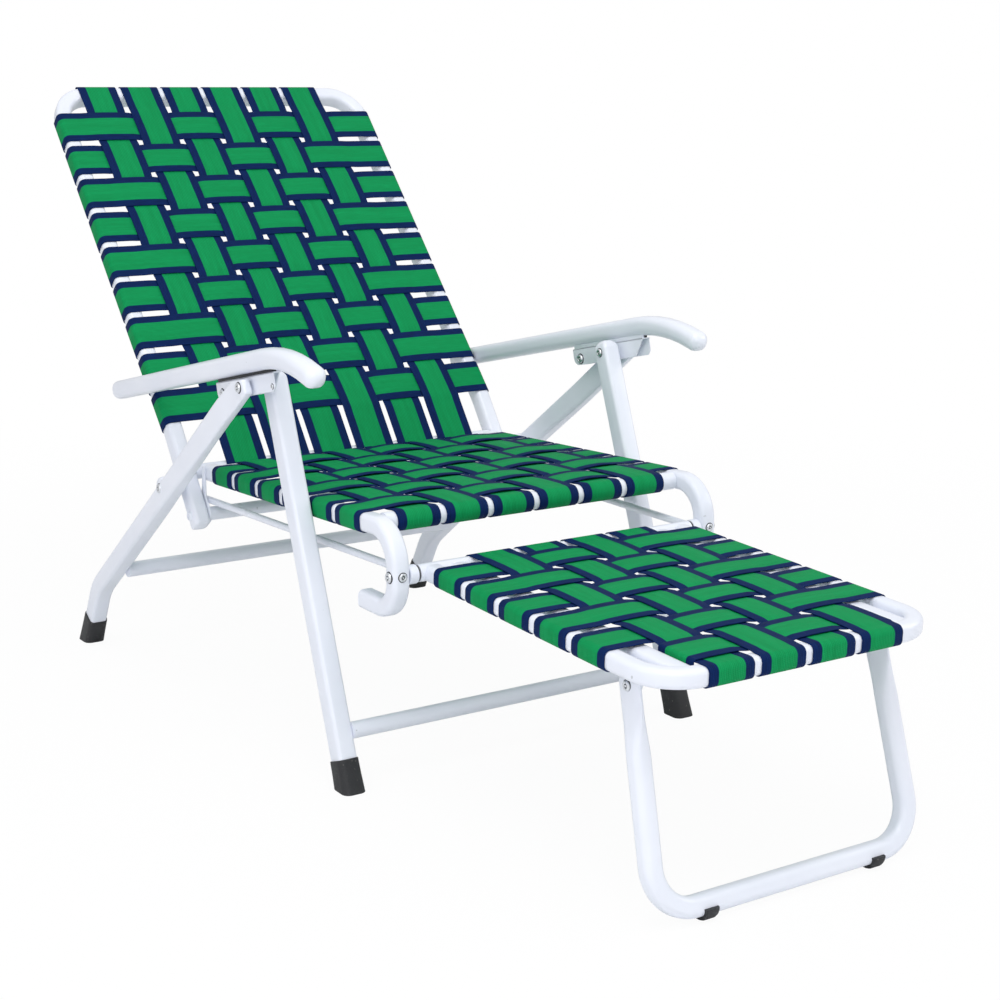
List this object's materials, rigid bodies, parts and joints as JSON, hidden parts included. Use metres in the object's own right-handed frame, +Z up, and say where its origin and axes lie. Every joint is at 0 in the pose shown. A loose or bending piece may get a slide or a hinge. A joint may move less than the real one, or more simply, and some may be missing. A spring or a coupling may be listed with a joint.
{
  "type": "folding webbed lawn chair",
  "caption": "Reclining folding lawn chair with white tube frame, plain-woven green and navy webbing, armrests and a hinged footrest on its own folding leg.",
  "frame": {"origin": "on the floor under the middle of the whole chair's box", "axes": "+X across the chair to the sitter's left, -Y towards the footrest, +Z up"},
  "size_m": [0.583, 1.3884, 0.7999],
  "materials": {
    "frame": "gloss",
    "webbing": "ribbed weave",
    "rubber": "matte",
    "steel": "satin"
  },
  "bodies": {
    "seat": {"seat_rail_left": "frame", "seat_rail_right": "frame", "hook_plug_left": "rubber", "hook_plug_right": "rubber", "arm_rivet_left": "steel", "arm_rivet_right": "steel", "seat_front_bar": "frame", "seat_rear_bar": "frame", "axle": "frame", "axle_hanger_left": "frame", "axle_hanger_right": "frame", "axle_bolt_left": "steel", "axle_bolt_right": "steel", "brace_rod_left": "frame", "brace_rod_right": "frame", "hinge_bolt_left": "steel", "hinge_bolt_right": "steel", "seat_webbing": "webbing"},
    "back": {"back_frame": "frame", "back_lower_bar": "frame", "back_webbing": "webbing"},
    "front_legs": {"front_leg_left": "frame", "front_leg_right": "frame", "front_foot_left": "rubber", "front_foot_right": "rubber", "seat_pivot_pin_left": "steel", "seat_pivot_pin_right": "steel", "front_top_rivet_left": "steel", "front_top_rivet_right": "steel", "front_crossbar": "frame"},
    "rear_legs": {"rear_leg_left": "frame", "rear_leg_right": "frame", "rear_foot_left": "rubber", "rear_foot_right": "rubber", "ear_bolt_left": "steel", "ear_bolt_right": "steel", "rear_top_rivet_left": "steel", "rear_top_rivet_right": "steel", "rear_crossbar": "frame"},
    "armrest_left": {"armrest_left": "frame", "armrest_pin_left": "steel", "leg_bracket_left": "frame", "bracket_rivet_left": "steel"},
    "armrest_right": {"armrest_right": "frame", "armrest_pin_right": "steel", "leg_bracket_right": "frame", "bracket_rivet_right": "steel"},
    "footrest": {"footrest_frame": "frame", "footrest_rear_bar": "frame", "footrest_webbing": "webbing", "leg_lug_left": "frame", "leg_lug_right": "frame"},
    "footrest_leg": {"footrest_leg": "frame", "leg_rivet_left": "steel", "leg_rivet_right": "steel", "leg_pad_left": "rubber", "leg_pad_right": "rubber"}
  },
  "joints": [
    {"name": "back_recline", "type": "hinge", "parent": "seat", "child": "back", "pos_m": [0, 0.21965, 0.249], "axis": [-1, 0, 0], "range_deg": [-12, 42]},
    {"name": "front_leg_swing", "type": "hinge", "parent": "seat", "child": "front_legs", "pos_m": [0, -0.07201, 0.316], "axis": [-1, 0, 0], "range_deg": [-14, 46]},
    {"name": "rear_leg_swing", "type": "hinge", "parent": "back", "child": "rear_legs", "pos_m": [0, 0.23765, 0.287], "axis": [-1, 0, 0], "range_deg": [-48, 14.5]},
    {"name": "armrest_left_swing", "type": "hinge", "parent": "back", "child": "armrest_left", "pos_m": [-0.271, 0.34341, 0.40608], "axis": [-1, 0, 0], "range_deg": [-35, 10.5]},
    {"name": "armrest_right_swing", "type": "hinge", "parent": "back", "child": "armrest_right", "pos_m": [0.271, 0.34341, 0.40608], "axis": [-1, 0, 0], "range_deg": [-35, 10.5]},
    {"name": "footrest_fold", "type": "hinge", "parent": "seat", "child": "footrest", "pos_m": [0, -0.26085, 0.27], "axis": [-1, 0, 0], "range_deg": [-20, 110]},
    {"name": "footrest_leg_fold", "type": "hinge", "parent": "footrest", "child": "footrest_leg", "pos_m": [0, -0.61535, 0.235], "axis": [1, 0, 0], "range_deg": [0, 98]}
  ],
  "couplings": [
    {"joint": "front_leg_swing", "follows": "back_recline", "ratio": 1.07},
    {"joint": "rear_leg_swing", "follows": "back_recline", "ratio": -1.12},
    {"joint": "armrest_left_swing", "follows": "back_recline", "ratio": -0.81},
    {"joint": "armrest_right_swing", "follows": "back_recline", "ratio": -0.81}
  ]
}
